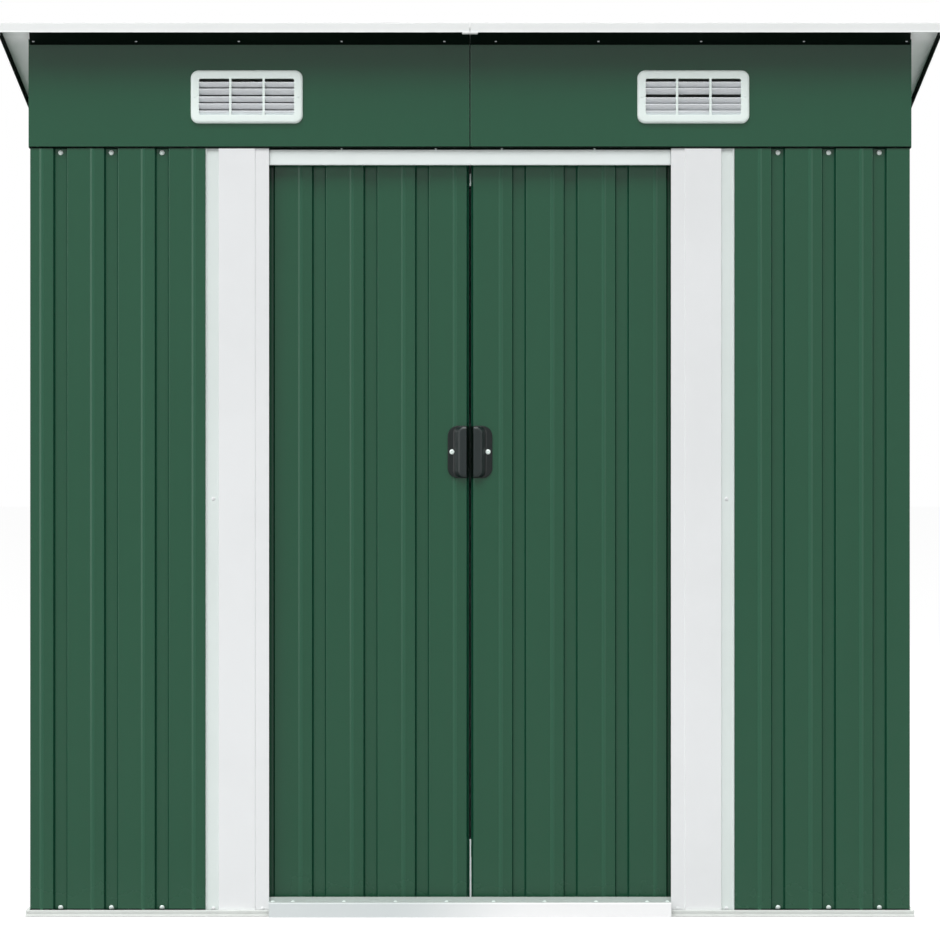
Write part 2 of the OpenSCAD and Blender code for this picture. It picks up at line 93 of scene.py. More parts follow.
class Paint:
    # one material and its nodes
    def __init__(self, name, world=None):
        self.material = world or bpy.data.materials.new(name)
        self.material.use_nodes = True
        self.tree = self.material.node_tree
        self.shader = self.tree.nodes["Background" if world else "Principled BSDF"]
        self.place = self.node("TexCoord", out="Object")

    def node(self, kind, settings=None, inputs=None, out=0):
        made = self.tree.nodes.new("ShaderNode" + kind)
        for key, value in (settings or {}).items():
            setattr(made, key, value)
        self.feed(made, inputs or {})
        return Wire(self, made.outputs[out])

    def feed(self, node, inputs):
        for key, value in inputs.items():
            if isinstance(value, Wire):
                self.tree.links.new(value.socket, node.inputs[key])
            else:
                node.inputs[key].default_value = value

    def noise(self, size, detail, stretch=(1, 1, 1)):
        # about 0 to 1, in lumps of that size; stretch makes them longer along an axis
        shrink = tuple(1 / part for part in stretch)
        spread = self.node("VectorMath", {"operation": "MULTIPLY"}, {0: self.place, 1: shrink})
        return self.node("TexNoise", None, {"Vector": spread, "Scale": 1 / size, "Detail": detail}, "Fac")

    def along(self, axis):
        return self.node("SeparateXYZ", None, {0: self.place}, axis)

    def ramp(self, value, low, high):
        # 0 below low and 1 above high, smooth between
        inputs = {"Value": value, "From Min": low, "From Max": high}
        return self.node("MapRange", {"interpolation_type": "SMOOTHSTEP"}, inputs)

    def mix(self, share, first, second):
        return self.node("Mix", {"data_type": "RGBA"}, {0: share, 6: first, 7: second}, 2)

    def bump(self, height, strength, depth):
        return self.node("Bump", None, {"Height": height, "Strength": strength, "Distance": depth}, "Normal")

    def dents(self, peel, sway, bump, peelShare=0.02):
        # the fine peel of a coat and the slow sway of a thin sheet
        return self.bump(self.noise(peel, 1) * peelShare + self.noise(*sway), *bump)

    def rays(self):
        # 1 for rays of the camera, and 1 for rays of a reflection
        return [self.node("LightPath", out=kind) for kind in ("Is Camera Ray", "Is Glossy Ray")]

    def finish(self, **sockets):
        self.feed(self.shader, {key.replace("_", " "): value for key, value in sockets.items()})
        return self.material


def millimetres(**sizes):
    return {key: size * mm for key, size in sizes.items()}


def colour(red, green, blue):
    return (red, green, blue, 1)


def shade(level):
    return colour(level, level, level)


def greenCoat(name, light, dark, gloss, dull=0.16, soot=0.0):
    # dust lies near the ground, and painted shade darkens the coat under the front of the roof
    look = dict(cloud=(0.35, 3), streak=(0.02, 2, (1, 1, 40)), streakShare=0.4, dustTop=0.16, dustShare=0.16,
                dust=colour(0.060, 0.110, 0.075), dustRough=0.08, sootRamp=(1.66, 1.77), fleck=(0.05, 4),
                fleckRough=0.10, peel=0.9 * mm, sway=(0.12, 1, (1, 1, 3)), bump=(0.22, 0.5 * mm))
    paint = Paint(name)
    cloud = paint.noise(*look["cloud"])
    tone = cloud * (1 - look["streakShare"]) + paint.noise(*look["streak"]) * look["streakShare"]
    height = paint.along("Z")
    nearGround = 1 - paint.ramp(height, 0, look["dustTop"])
    dusty = paint.mix(nearGround * cloud * look["dustShare"], paint.mix(tone, dark, light), look["dust"])
    sooty = paint.mix(paint.ramp(height, *look["sootRamp"]) * soot, dusty, shade(0))
    rough = dull + paint.noise(*look["fleck"]) * look["fleckRough"] + nearGround * look["dustRough"]
    normal = paint.dents(look["peel"], look["sway"], look["bump"])
    return paint.finish(Base_Color=sooty, Roughness=rough, Normal=normal, Specular_IOR_Level=gloss)


def whiteCoat(name, tone, fade=0.0):
    # tone tints the coat, painted shade darkens it towards the top, and grime mixed with painted contact
    # shade lies along the foot
    look = dict(clean=(0.800, 0.815, 0.825), worn=(0.776, 0.792, 0.800), cloud=(0.22, 3),
                wornRamp=(0.35, 0.75), fadeTop=1.55, grime=colour(0.42, 0.43, 0.41), grimeTop=0.022,
                grimeLeast=0.30, spots=(0.03, 4), spotRamp=(0.4, 0.8), spotShare=0.2, rough=0.36,
                fleck=(0.04, 4), fleckRough=0.10, gloss=0.4, peel=0.9 * mm, sway=(0.10, 1, (2, 1, 3)),
                bump=(0.12, 0.4 * mm))
    paint = Paint(name)
    clean, worn = (colour(*[a * b for a, b in zip(tone, look[key])]) for key in ("clean", "worn"))
    coat = paint.mix(paint.ramp(paint.noise(*look["cloud"]), *look["wornRamp"]), clean, worn)
    height = paint.along("Z")
    faded = paint.mix(paint.ramp(height, 0, look["fadeTop"]) * fade, coat, shade(0))
    nearGround = 1 - paint.ramp(height, 0, look["grimeTop"])
    spots = paint.ramp(paint.noise(*look["spots"]), *look["spotRamp"]) * look["spotShare"]
    dirty = paint.mix(nearGround * (look["grimeLeast"] + spots), faded, look["grime"])
    rough = look["rough"] + paint.noise(*look["fleck"]) * look["fleckRough"]
    normal = paint.dents(look["peel"], look["sway"], look["bump"])
    return paint.finish(Base_Color=dirty, Roughness=rough, Normal=normal, Specular_IOR_Level=look["gloss"])


def handlePlastic(name, gloss):
    # the flange is painted darker than the grip, as shade beside the raised grip
    look = dict(light=colour(0.0035, 0.0100, 0.0100), dark=colour(0.0010, 0.0042, 0.0040), flange=5 * mm,
                rubbed=10 * mm, patch=(0.012, 3), patchShare=0.2, rough=0.33, fleck=(0.006, 3),
                fleckRough=0.12, grain=(0.6 * mm, 3), bump=(0.25, 0.12 * mm))
    paint = Paint(name)
    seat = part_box("left_door_handle")[1].y
    grip = 1 - paint.ramp(paint.along("Y"), seat - look["rubbed"], seat - look["flange"])
    tone = grip * (1 - look["patchShare"]) + paint.noise(*look["patch"]) * look["patchShare"]
    coat = paint.mix(tone, look["dark"], look["light"])
    rough = look["rough"] + paint.noise(*look["fleck"]) * look["fleckRough"]
    normal = paint.bump(paint.noise(*look["grain"]), *look["bump"])
    return paint.finish(Base_Color=coat, Roughness=rough, Normal=normal, Specular_IOR_Level=gloss)


def plainCoat(name, first, second, patch, rough, fleck, grain=None, edge=None, side=None, **sockets):
    # patch is (size, detail) of the patches of two colours, fleck (size, detail, spread) of the sheen and
    # grain (size, detail, strength, depth) of the bumps; an edge (from, to) sharpens the patches,
    # and side (axis, waver) puts the edge at a place along an axis
    paint = Paint(name)
    share = paint.noise(*patch)
    if side:
        axis, waver = side
        share = paint.along(axis) + share * waver
    if edge:
        share = paint.ramp(share, *edge)
    if grain:
        sockets["Normal"] = paint.bump(paint.noise(*grain[:2]), *grain[2:])
    uneven = rough + paint.noise(*fleck[:2]) * fleck[2]
    return paint.finish(Base_Color=paint.mix(share, first, second), Roughness=uneven, **sockets)


sheetGreens = (colour(0.0068, 0.0745, 0.0345), colour(0.0060, 0.0670, 0.0308))
green = greenCoat("greenCoat", *sheetGreens, 0.5)
# the front panel's copy paints the shadow of the roof's overhang along its top
panelGreen = greenCoat("panelGreen", *sheetGreens, 0.5, soot=0.36)
grooveGreen = greenCoat("grooveGreen", colour(0.0080, 0.0700, 0.0370), colour(0.0072, 0.0640, 0.0335), 0.05)
roofGreen = greenCoat("roofGreen", colour(0.0135, 0.0850, 0.0430), colour(0.0120, 0.0760, 0.0385), 0.06, 0.5)
# a paler, glossier green that paints the highlight on the beads
ridgeGreen = greenCoat("ridgeGreen", colour(0.0210, 0.1000, 0.0545), colour(0.0195, 0.0920, 0.0505), 0.34)
white = whiteCoat("whiteCoat", (1.03, 1.03, 1.03), 0.085)
# copy of the white, darker and greener as painted shade and reflected green
flangeWhite = whiteCoat("flangeWhite", (0.915, 0.975, 0.94), 0.085)
# copy of the white toned darker, painted shade against the light on the upturned trims
roofWhite = whiteCoat("roofWhite", (0.844, 0.851, 0.836))
# copy of the white, darker and greener as painted shade under the front panel
headerWhite = whiteCoat("headerWhite", (0.94, 0.995, 0.967))
baseWhite = whiteCoat("baseWhite", (0.97, 1.0, 0.95))
black = handlePlastic("handleGrip", 0.46)
blackFlange = handlePlastic("handleFlange", 0.34)

# light grey primer on the back of the sheets; the roof's copy is paler, painted light on the underside of
# the overhang
backLook = dict(patch=(0.15, 4), rough=0.5, fleck=(0.03, 3, 0.12), grain=(1.2 * mm, 1, 0.04, 0.1 * mm))
grey = plainCoat("backCoat", colour(0.72, 0.75, 0.74), colour(0.79, 0.82, 0.81), **backLook)
roofGrey = plainCoat("roofBack", colour(0.84, 0.88, 0.86), colour(0.90, 0.94, 0.92), **backLook)

# near-black green that paints shade under the front of the roof, inside its trims and in other shadowed gaps
dark = plainCoat("darkCoat", colour(0.0015, 0.0040, 0.0028), colour(0.0030, 0.0075, 0.0052), patch=(0.08, 3),
                 rough=0.62, fleck=(0.02, 3, 0.15), grain=(1.0 * mm, 1, 0.05, 0.1 * mm),
                 Specular_IOR_Level=0.02)

# white of the sill, darker towards its left end
sillWhite = plainCoat("sillCoat", colour(0.685, 0.73, 0.735), colour(0.965, 0.97, 0.975), patch=(0.10, 2),
                      side=("X", 0.04), edge=(-0.16, 0.16), rough=0.34, fleck=(0.03, 4, 0.14),
                      grain=(0.9 * mm, 1, 0.03, 0.1 * mm), Specular_IOR_Level=0.4)

# duller grey-green white of the top of the sill and of the rail in the doorway
dullWhite = plainCoat("railCoat", colour(0.41, 0.46, 0.44), colour(0.48, 0.535, 0.51), patch=(0.06, 3),
                      rough=0.40, fleck=(0.02, 3, 0.12), grain=(0.9 * mm, 1, 0.03, 0.1 * mm),
                      Specular_IOR_Level=0.4)

# moulded plastic of the vents, and nylon of the sliders
ventPlastic = dict(patch=(0.04, 3), rough=0.42, fleck=(0.01, 3, 0.12), grain=(0.7 * mm, 2, 0.06, 0.1 * mm))
ventWhite = plainCoat("ventPlastic", colour(0.80, 0.89, 0.86), colour(0.77, 0.85, 0.82), **ventPlastic)
slatWhite = plainCoat("slatPlastic", colour(0.80, 0.83, 0.86), colour(0.76, 0.79, 0.81), **ventPlastic)
slide = plainCoat("nylon", colour(0.82, 0.82, 0.78), colour(0.68, 0.68, 0.63), patch=(0.01, 4), rough=0.34,
                  fleck=(0.004, 3, 0.15), grain=(0.5 * mm, 2, 0.06, 0.08 * mm))

# screws: pale lacquer over zinc, and bare zinc
screwWhite = plainCoat("screwPaint", colour(0.80, 0.89, 0.855), colour(0.64, 0.70, 0.68), edge=(0.45, 0.8),
                       patch=(2.5 * mm, 3), rough=0.30, fleck=(1.5 * mm, 2, 0.2), Metallic=0.15)
bare = plainCoat("zinc", colour(0.36, 0.38, 0.39), colour(0.56, 0.58, 0.59), patch=(2.0 * mm, 3), rough=0.34,
                 fleck=(1.0 * mm, 2, 0.2), Metallic=0.9)
print("finishes made:", len(bpy.data.materials))

bendStep = math.radians(20)  # turn of one facet in a bend
bendRoom = 0.49  # share of a straight stretch that the bend at its end may take
leastTurn = 0.001  # a corner that turns less stays a point
leastLean = 0.3  # keeps the offset at a sharp corner short


def bendLine(corners):
    # corners are (p, q, radius of the bend); returns points with each bend as an arc
    line = []
    for i, (p, q, radius) in enumerate(corners):
        here = Vector((p, q))
        if radius <= 0 or i in (0, len(corners) - 1):
            line.append(here)
            continue
        back = Vector(corners[i - 1][:2]) - here
        ahead = Vector(corners[i + 1][:2]) - here
        room = bendRoom * min(back.length, ahead.length)
        back.normalize()
        ahead.normalize()
        turn = math.pi - back.angle(ahead)
        if turn < leastTurn:
            line.append(here)
            continue
        reach = min(radius * math.tan(turn / 2), room)
        middle = here + (back + ahead).normalized() * (reach / math.sin(turn / 2))
        spoke = here + back * reach - middle
        way = 1 if back.x * ahead.y - back.y * ahead.x < 0 else -1
        steps = max(2, math.ceil(turn / bendStep))
        for k in range(steps + 1):
            line.append(middle + Matrix.Rotation(way * turn * k / steps, 2) @ spoke)
    return line


def roundLoop(corners):
    # a closed outline with its corners as arcs
    return bendLine([corners[-1], *corners, corners[0]])[1:-1]


def offsetLine(line, distance):
    # the same line moved to its left, or to its right where distance is negative
    moved = []
    for i, here in enumerate(line):
        sides = []
        for a, b in ((i - 1, i), (i, i + 1)):
            if a >= 0 and b < len(line):
                step = (line[b] - line[a]).normalized()
                sides.append(Vector((-step.y, step.x)))
        mean = sum(sides, Vector((0, 0))).normalized()
        moved.append(here + mean * (distance / max(leastLean, mean.dot(sides[0]))))
    return moved


def meshOf(bm):
    # its points and faces as lists
    bm.verts.index_update()
    verts = [v.co.copy() for v in bm.verts]
    faces = [[v.index for v in face.verts] for face in bm.faces]
    bm.free()
    return verts, faces


class Shape:
    # gathers the faces of one piece
    def __init__(self):
        self.verts = []
        self.faces = []
        self.coats = []

    def add(self, place, verts, faces, coats):
        start = len(self.verts)
        self.verts += [place @ Vector(v) for v in verts]
        self.faces += [[start + i for i in face] for face in faces]
        self.coats += coats
        return self

    def fold(self, place, corners, thickness, cuts, mitre=(0, 0), window=None, coats=(0, 1), marks=None):
        # a folded sheet: its section is drawn out through the cuts, and the window leaves a hole;
        # marks picks the coat of a stretch of the outside
        outer = bendLine(corners)
        n = len(outer)
        last = len(cuts) - 1
        slope = [mitre[0]] + [0] * (last - 1) + [mitre[1]]
        verts = []
        for cut, lean in zip(cuts, slope):
            for line in (outer, offsetLine(outer, thickness)):
                verts += [(p.x, p.y, cut + lean * p.x) for p in line]

        hole = []
        if window:
            low, high = window[0] - mm, window[1] + mm
            hole = [i for i in range(n - 1) if all(low < p.y < high for p in outer[i:i + 2])]
        faces = []
        worn = []

        def quad(coat, *corners):
            # a corner is a cut, 0 outside or 1 inside, and a point of the section
            faces.append([(2 * j + side) * n + i for j, side, i in corners])
            worn.append(coat)

        for j in range(last):
            for i in range(n - 1):
                if j == 1 and i in hole:
                    continue
                for side in (0, 1):
                    coat = marks(outer[i], outer[i + 1]) if marks and side == 0 else coats[side]
                    quad(coat, (j, side, i), (j, side, i + 1), (j + 1, side, i + 1), (j + 1, side, i))
            for i in (0, n - 1):
                quad(coats[0], (j, 0, i), (j + 1, 0, i), (j + 1, 1, i), (j, 1, i))
        across = [(j, i) for j in (0, last) for i in range(n - 1)] + [(j, i) for j in (1, 2) for i in hole]
        for j, i in across:
            quad(coats[0], (j, 0, i), (j, 0, i + 1), (j, 1, i + 1), (j, 1, i))
        for i in (hole[0], hole[-1] + 1) if hole else ():
            quad(coats[0], (1, 0, i), (2, 0, i), (2, 1, i), (1, 1, i))
        return self.add(place, verts, faces, worn)

    def loft(self, place, loops, closed=False, coat=0):
        # skins a row of loops with as many points each; closed joins the last to the first
        n = len(loops[0])
        verts = [v for loop in loops for v in loop]
        rows = len(loops)
        faces = []
        for j in range(rows if closed else rows - 1):
            a = j * n
            b = (j + 1) % rows * n
            faces += [(a + i, a + (i + 1) % n, b + (i + 1) % n, b + i) for i in range(n)]
        if not closed:
            faces.append(list(range(n))[::-1])
            faces.append([(rows - 1) * n + i for i in range(n)])
        return self.add(place, verts, faces, [coat] * len(faces))

    def bar(self, place, corners, low, high, coat=0):
        # a solid bar with a closed section
        loop = roundLoop(corners)
        return self.loft(place, [[(p.x, p.y, r) for p in loop] for r in (low, high)], coat=coat)

    def block(self, place, low, high, edge, coat=0):
        # a block with rounded edges, from one corner to the other
        bm = bmesh.new()
        size = Vector(high) - Vector(low)
        middle = Matrix.Translation((Vector(high) + Vector(low)) / 2)
        bmesh.ops.create_cube(bm, size=1, matrix=middle @ Matrix.Diagonal((*size, 1)))
        bmesh.ops.bevel(bm, geom=bm.edges[:], offset=edge, segments=3, profile=0.5, affect="EDGES")
        verts, faces = meshOf(bm)
        return self.add(place, verts, faces, [coat] * len(faces))

    def build(self, name, finishes, body, node=None, sharp=38):
        # edges that turn by more than sharp, in degrees, are shaded as edges
        mesh = bpy.data.meshes.new(name)
        mesh.from_pydata(self.verts, [], self.faces)
        for finish in finishes:
            mesh.materials.append(finish)
        mesh.polygons.foreach_set("material_index", self.coats)
        bm = bmesh.new()
        bm.from_mesh(mesh)
        bmesh.ops.recalc_face_normals(bm, faces=bm.faces[:])
        for face in bm.faces:
            face.smooth = True
        bm.to_mesh(mesh)
        bm.free()
        mesh.set_sharp_from_angle(angle=math.radians(sharp))
        piece = bpy.data.objects.new(name, mesh)
        scene.collection.objects.link(piece)
        normals = piece.modifiers.new("normals", "WEIGHTED_NORMAL")
        normals.keep_sharp = True
        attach(piece, body)
        if node:
            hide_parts(node)
        return piece

    def dress(self, node, *finishes, sharp=38):
        return self.build(node + "_sheet", finishes, bodyOf[node], node, sharp)


# the sheet profile of walls and doors
sheet = dict(millimetres(thickness=1, wallPitch=103.5, doorPitch=105.5, grooveWidth=28.5, grooveDepth=9,
                         grooveRun=2.5, nearRun=0.7, beadToGroove=23.6, beadWidth=12, beadHeight=2,
                         beadRise=1.2, beadHalf=4.7, beadBend=6, beadFoot=3, firstBead=23.6, edgeFlat=13,
                         bend=1.7, foldFlat=2, shortFlat=3), beadFrom=0.3)
sheetThick = sheet["thickness"]

# faces of the walls, from the frame
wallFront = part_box("front_wall_left")[0].y + sheet["beadHeight"]
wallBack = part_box("back_wall_left")[1].y - sheet["beadHeight"]
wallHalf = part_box("front_wall_right")[1].x
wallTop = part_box("front_wall_left")[1].z
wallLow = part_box("front_wall_left")[0].z
midY = (wallFront + wallBack) / 2


def axes(first, second, third, origin=(0, 0, 0)):
    made = Matrix((first, second, third)).transposed().to_4x4()
    made.translation = origin
    return made


# frames of the walls: first axis to the right seen from outside, second inwards, third up
up = (0, 0, 1)
front = axes((1, 0, 0), (0, 1, 0), up, (0, wallFront, 0))
back = axes((-1, 0, 0), (0, -1, 0), up, (0, wallBack, 0))
left = axes((0, -1, 0), (1, 0, 0), up, (-wallHalf, midY, 0))
right = axes((0, 1, 0), (-1, 0, 0), up, (wallHalf, midY, 0))
walls = dict(front=front, back=back, left=left, right=right)
mirror = Matrix.Scale(-1, 4, (1, 0, 0))
# turns a frame so that a section of depth and height is drawn out along the wall
lengthways = axes((0, 1, 0), up, (1, 0, 0))


def reachOf(node, place):
    # the box of a node in the frame of a wall, lowest and highest corner
    inside = place.inverted()
    a, b = (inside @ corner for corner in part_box(node))
    return Vector(map(min, a, b)), Vector(map(max, a, b))


def beadPlaces(low, high, bead, pitch):
    # places of the beads, with some to spare beyond both ends of the sheet
    first = math.floor((low - bead) / pitch) - 1
    last = math.ceil((high - bead) / pitch) + 1
    return [bead + k * pitch for k in range(first, last + 1)]


def ribbedLine(low, high, bead, pitch, fold=0, steep=False):
    # section of a ribbed sheet; fold is -1 or 1 where the left or right edge is folded back,
    # and steep makes the sides of the grooves towards the middle of the shed steeper
    s = sheet
    depth, run, bend, flat = s["grooveDepth"], s["grooveRun"], s["bend"], s["foldFlat"]
    first, last = low + s["edgeFlat"], high - s["edgeFlat"]
    half = s["beadWidth"] / 2
    near = s["nearRun"] if steep else run
    line = [(low, 0, 0)]
    if fold < 0:
        line = [(low, depth, 0), (low + flat, depth, bend), (low + flat + run, 0, bend)]
    for x in beadPlaces(low, high, bead, pitch):
        if x - half > first and x + half < last:
            line += [(x - s["beadHalf"], 0, s["beadFoot"]), (x, -s["beadRise"], s["beadBend"]),
                     (x + s["beadHalf"], 0, s["beadFoot"])]
        start = x + s["beadToGroove"]
        end = start + s["grooveWidth"]
        if start > first and end < last:
            runIn, runOut = (near, run) if start > 0 else (run, near)
            line += [(start, 0, bend), (start + runIn, depth, bend), (end - runOut, depth, bend),
                     (end, 0, bend)]
    if fold > 0:
        return line + [(high - flat - run, 0, bend), (high - flat, depth, bend), (high, depth, 0)]
    return line + [(high, 0, 0)]


def sheetCoat(a, b):
    # coats of a ribbed sheet: 0 on the flats, 2 on the sides of the grooves and folded edges, 3 on the
    # beads, whose paler green is a painted highlight
    if min(a.y, b.y) < -sheet["beadFrom"] * sheet["beadRise"]:
        return 3
    deepFold = min(a.y, b.y) > sheet["grooveDepth"] / 2 and (b - a).length < sheet["shortFlat"]
    return 2 if deepFold or abs(b.y - a.y) > abs(b.x - a.x) else 0


def grooveMiddles(low, high, bead):
    # middles of the grooves of a wall sheet, where its screws sit
    s = sheet
    starts = [x + s["beadToGroove"] for x in beadPlaces(low, high, bead, s["wallPitch"])]
    return [x + s["grooveWidth"] / 2 for x in starts
            if x > low + s["edgeFlat"] and x + s["grooveWidth"] < high - s["edgeFlat"]]


# wall sheets, in front with a groove beside each door post
post = millimetres(flange=28.5, web=74, run=0.6, thickness=1.2, clear=0.5, bend=0.7, lap=0.8, lapGap=0.1,
                   lapEdge=1.4, deep=3.2, deepIn=1.0)
openHalf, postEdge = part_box("door_post_right")[0].x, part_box("door_post_right")[1].x
wallGroove = postEdge - sheet["grooveWidth"] + sheet["grooveRun"] + post["clear"]
wallPlaces = {node: walls[node.split("_")[0]] for node in slotOf if "_wall_" in node}
firstBeads = dict(front_wall_left=-wallGroove - sheet["grooveWidth"] - sheet["beadToGroove"],
                  front_wall_right=wallGroove - sheet["beadToGroove"])
wallScrews = []
for node, place in wallPlaces.items():
    low, high = reachOf(node, place)
    bead = firstBeads.get(node, low.x + sheet["firstBead"])
    line = ribbedLine(low.x, high.x, bead, sheet["wallPitch"], steep=place == front)
    shape = Shape().fold(place, line, sheetThick, (low.z, high.z), marks=sheetCoat)
    shape.dress(node, green, grey, grooveGreen, ridgeGreen)
    wallScrews += [(place, x) for x in grooveMiddles(low.x, high.x, bead)
                   if place != front or abs(x) > postEdge]
print("wall sheets made:", len(wallPlaces))

# door posts, folded as a hat
inner = openHalf + post["flange"]
web = inner + post["web"]
deep, deepIn, bend, face = post["deep"], post["deepIn"], post["bend"], -post["thickness"]
postLine = [(openHalf, deepIn, 0), (inner - post["run"], deepIn, bend), (inner, face, bend),
            (web, face, bend), (web + post["run"], deep, bend)]
# its outer edge climbs out of the groove and laps on the face of the wall sheet
lapFace = face - post["lapGap"]
lapTop = postEdge + post["lapEdge"]
lapFoot = lapTop - (deep - lapFace) * sheet["grooveRun"] / sheet["grooveDepth"]
postLine += [(lapFoot, deep, bend), (lapTop, lapFace, bend), (lapTop + post["lap"], lapFace, 0)]


def postCoat(a, b):
    # 2 on the outer flange, painted a little darker and greener as shade and reflected green of the wall
    return 2 if min(a.x, b.x) > web + post["run"] else 0


for node, place in dict(door_post_left=mirror @ front, door_post_right=front).items():
    shape = Shape().fold(place, postLine, post["thickness"], (wallLow, wallTop), marks=postCoat)
    shape.dress(node, white, white, flangeWhite)

# header over the doors, in a darker, greener white that paints the shade under the front panel
header = millimetres(thickness=1, bend=1.6, forward=3.6, endGap=0.4, topDrop=2, lowLift=1.4)
low, high = reachOf("door_header", front)
top = high.z - header["topDrop"]
foot = low.z + header["lowLift"]
face = low.y - header["forward"]
plate = [(low.y, top - header["topDrop"], 0), (low.y, foot, header["bend"]), (high.y, foot, 0)]
cover = [(low.y, top, 0), (face, top, header["bend"]), (face, foot, header["bend"]), (low.y, foot, 0)]
coverEnd = openHalf - header["endGap"]
shape = Shape().fold(front @ lengthways, plate, header["thickness"], (low.x, high.x))
shape.fold(front @ lengthways, cover, header["thickness"], (-coverEnd, coverEnd))
shape.dress("door_header", headerWhite, white)

# upper door track
rail = millimetres(thickness=1.5, bend=2)
railThick = rail["thickness"]
low, high = reachOf("door_top_track", front)
trackLine = [(high.y, low.z, 0), (high.y, high.z, rail["bend"]), (low.y, high.z, rail["bend"]),
             (low.y, low.z, 0)]
shape = Shape().fold(front @ lengthways, trackLine, railThick, (low.x, high.x))
shape.dress("door_top_track", white, white)

# sill
sill = dict(millimetres(thickness=1.2, bend=2.2), flatSlope=0.5)
low, high = reachOf("door_sill", front)
sillLine = [(high.y, high.z, 0), (low.y, high.z, sill["bend"]), (low.y, 0, 0)]
sillFront, sillTop = low.y, high.z


def sillMark(a, b):
    # 2 on the top of the sill, which is greyer and duller than its front
    return 2 if abs(b.y - a.y) < sill["flatSlope"] * abs(b.x - a.x) else 0


shape = Shape().fold(front @ lengthways, sillLine, sill["thickness"], (low.x, high.x), marks=sillMark)
shape.dress("door_sill", sillWhite, white, dullWhite)

# base rails with mitred corners
base = millimetres(lipHeight=13, lipReach=8, topIn=1.6, creaseTop=9.2, creaseLow=5.0, crease=0.5, flare=1.0,
                   toe=0.8, bend=2, sealOut=0.5, sealTop=2.4, sealThick=0.3, sealGap=3, ribWidth=8,
                   ribHeight=25, ribBend=0.5)
legBack = sheet["grooveDepth"] + sheetThick + railThick
for side, place in walls.items():
    node = "base_rail_" + side
    low, high = reachOf(node, place)
    along = place @ lengthways
    half = high.x + low.y  # length at the face of the wall
    ends = (-half, half)
    toe, lip = base["toe"], -base["lipReach"]
    # the lip is creased, and flares to its toe on the ground
    channel = [(-base["topIn"], base["lipHeight"], 0), (lip, base["lipHeight"], toe),
               (lip, base["creaseTop"], toe), (lip + base["crease"], base["creaseLow"], toe),
               (lip - base["flare"], toe, toe), (lip, 0, toe), (legBack, 0, base["bend"]),
               (legBack, high.z, 0)]
    shape = Shape().fold(along, channel, railThick, ends, (1, -1))
    # a near-black strip paints the contact shadow along the foot of the sheets, in front beside the posts
    # only
    sealLine = [(-base["sealOut"], base["lipHeight"] + base["sealTop"], 0),
                (-base["sealOut"], base["lipHeight"] - mm, 0)]
    sealed = [(mm - half, half - mm)]
    if place == front:
        sealed = [(postEdge + base["sealGap"], half - mm), (mm - half, -postEdge - base["sealGap"])]
    for stretch in sealed:
        shape.fold(along, sealLine, base["sealThick"], stretch, coats=(2, 2))
    if high.y > legBack + mm:
        # the front rail goes on inwards with the rib that carries the doors
        ribMid = sum(corner.y for corner in reachOf("door_top_track", front)) / 2
        ribTop = base["ribHeight"] - railThick
        ribIn = base["ribWidth"] / 2 - railThick
        ribBend = base["ribBend"]
        inwards = [(legBack, 0, 0), (ribMid - ribIn, 0, ribBend), (ribMid - ribIn, ribTop, ribBend),
                   (ribMid + ribIn, ribTop, ribBend), (ribMid + ribIn, 0, ribBend), (high.y, 0, 0)]
        shape.fold(along, inwards, railThick, ends, (1, -1))
    shape.dress(node, baseWhite, dullWhite, dark)

# top rails: a shelf on the edges of the sheets and a leg inside, coated in near-black painted shade where
# they show under the front panel
for side, place in walls.items():
    node = "top_rail_" + side
    low, high = reachOf(node, place)
    along = place @ lengthways
    legEnds = (low.x, high.x)
    if place in (front, back):
        legEnds = (legBack - wallHalf, wallHalf - legBack)
    shelfCoats, legCoats = ((1, 1), (0, 1)) if place == front else ((0, 0), (0, 0))
    shelf = [(low.y, wallTop, 0), (high.y, wallTop, 0)]
    leg = [(legBack, low.z, 0), (legBack, wallTop, 0)]
    shape = Shape().fold(along, shelf, railThick, (low.x, high.x), coats=shelfCoats)
    shape.fold(along, leg, railThick, legEnds, coats=legCoats)
    shape.dress(node, white, dark)
print("posts, header, sill and rails made")

# front panel in two halves, each with a hole behind its vent
panel = millimetres(lift=2, topGap=0.4, hem=6, hemOut=0.4, hemThick=0.7, hemStart=0.2, hemEnd=1.2,
                    seamFold=10, bend=1.4, holeInset=0.6)
ventRim = 17 * mm  # width of the rim round the window of a vent
depthFirst = axes((0, 1, 0), (1, 0, 0), up)  # for a section of depth and width, drawn upwards
for side, place in dict(left=mirror @ front, right=front).items():
    node = "front_panel_" + side
    low, high = reachOf(node, place)
    ventLow, ventHigh = reachOf("vent_" + side, place)
    inset = ventRim + panel["holeInset"]
    face = low.y
    foot = low.z + panel["lift"]
    hole = (ventLow.x + inset, ventHigh.x - inset)
    across = [(face + panel["seamFold"], low.x, 0), (face, low.x, panel["bend"]), (face, hole[0], 0),
              (face, hole[1], 0), (face, high.x, 0)]
    heights = (foot, ventLow.z + inset, ventHigh.z - inset, high.z - panel["topGap"])
    shape = Shape().fold(place @ depthFirst, across, -sheetThick, heights, window=hole)
    hemFace = face - panel["hemOut"]
    hemLine = [(hemFace, foot + panel["hem"], 0), (hemFace, foot, panel["bend"]), (high.y, foot, 0)]
    hemEnds = (low.x + panel["hemStart"], high.x - panel["hemEnd"])
    shape.fold(place @ lengthways, hemLine, panel["hemThick"], hemEnds, coats=(0, 0))
    shape.dress(node, panelGreen, grey)

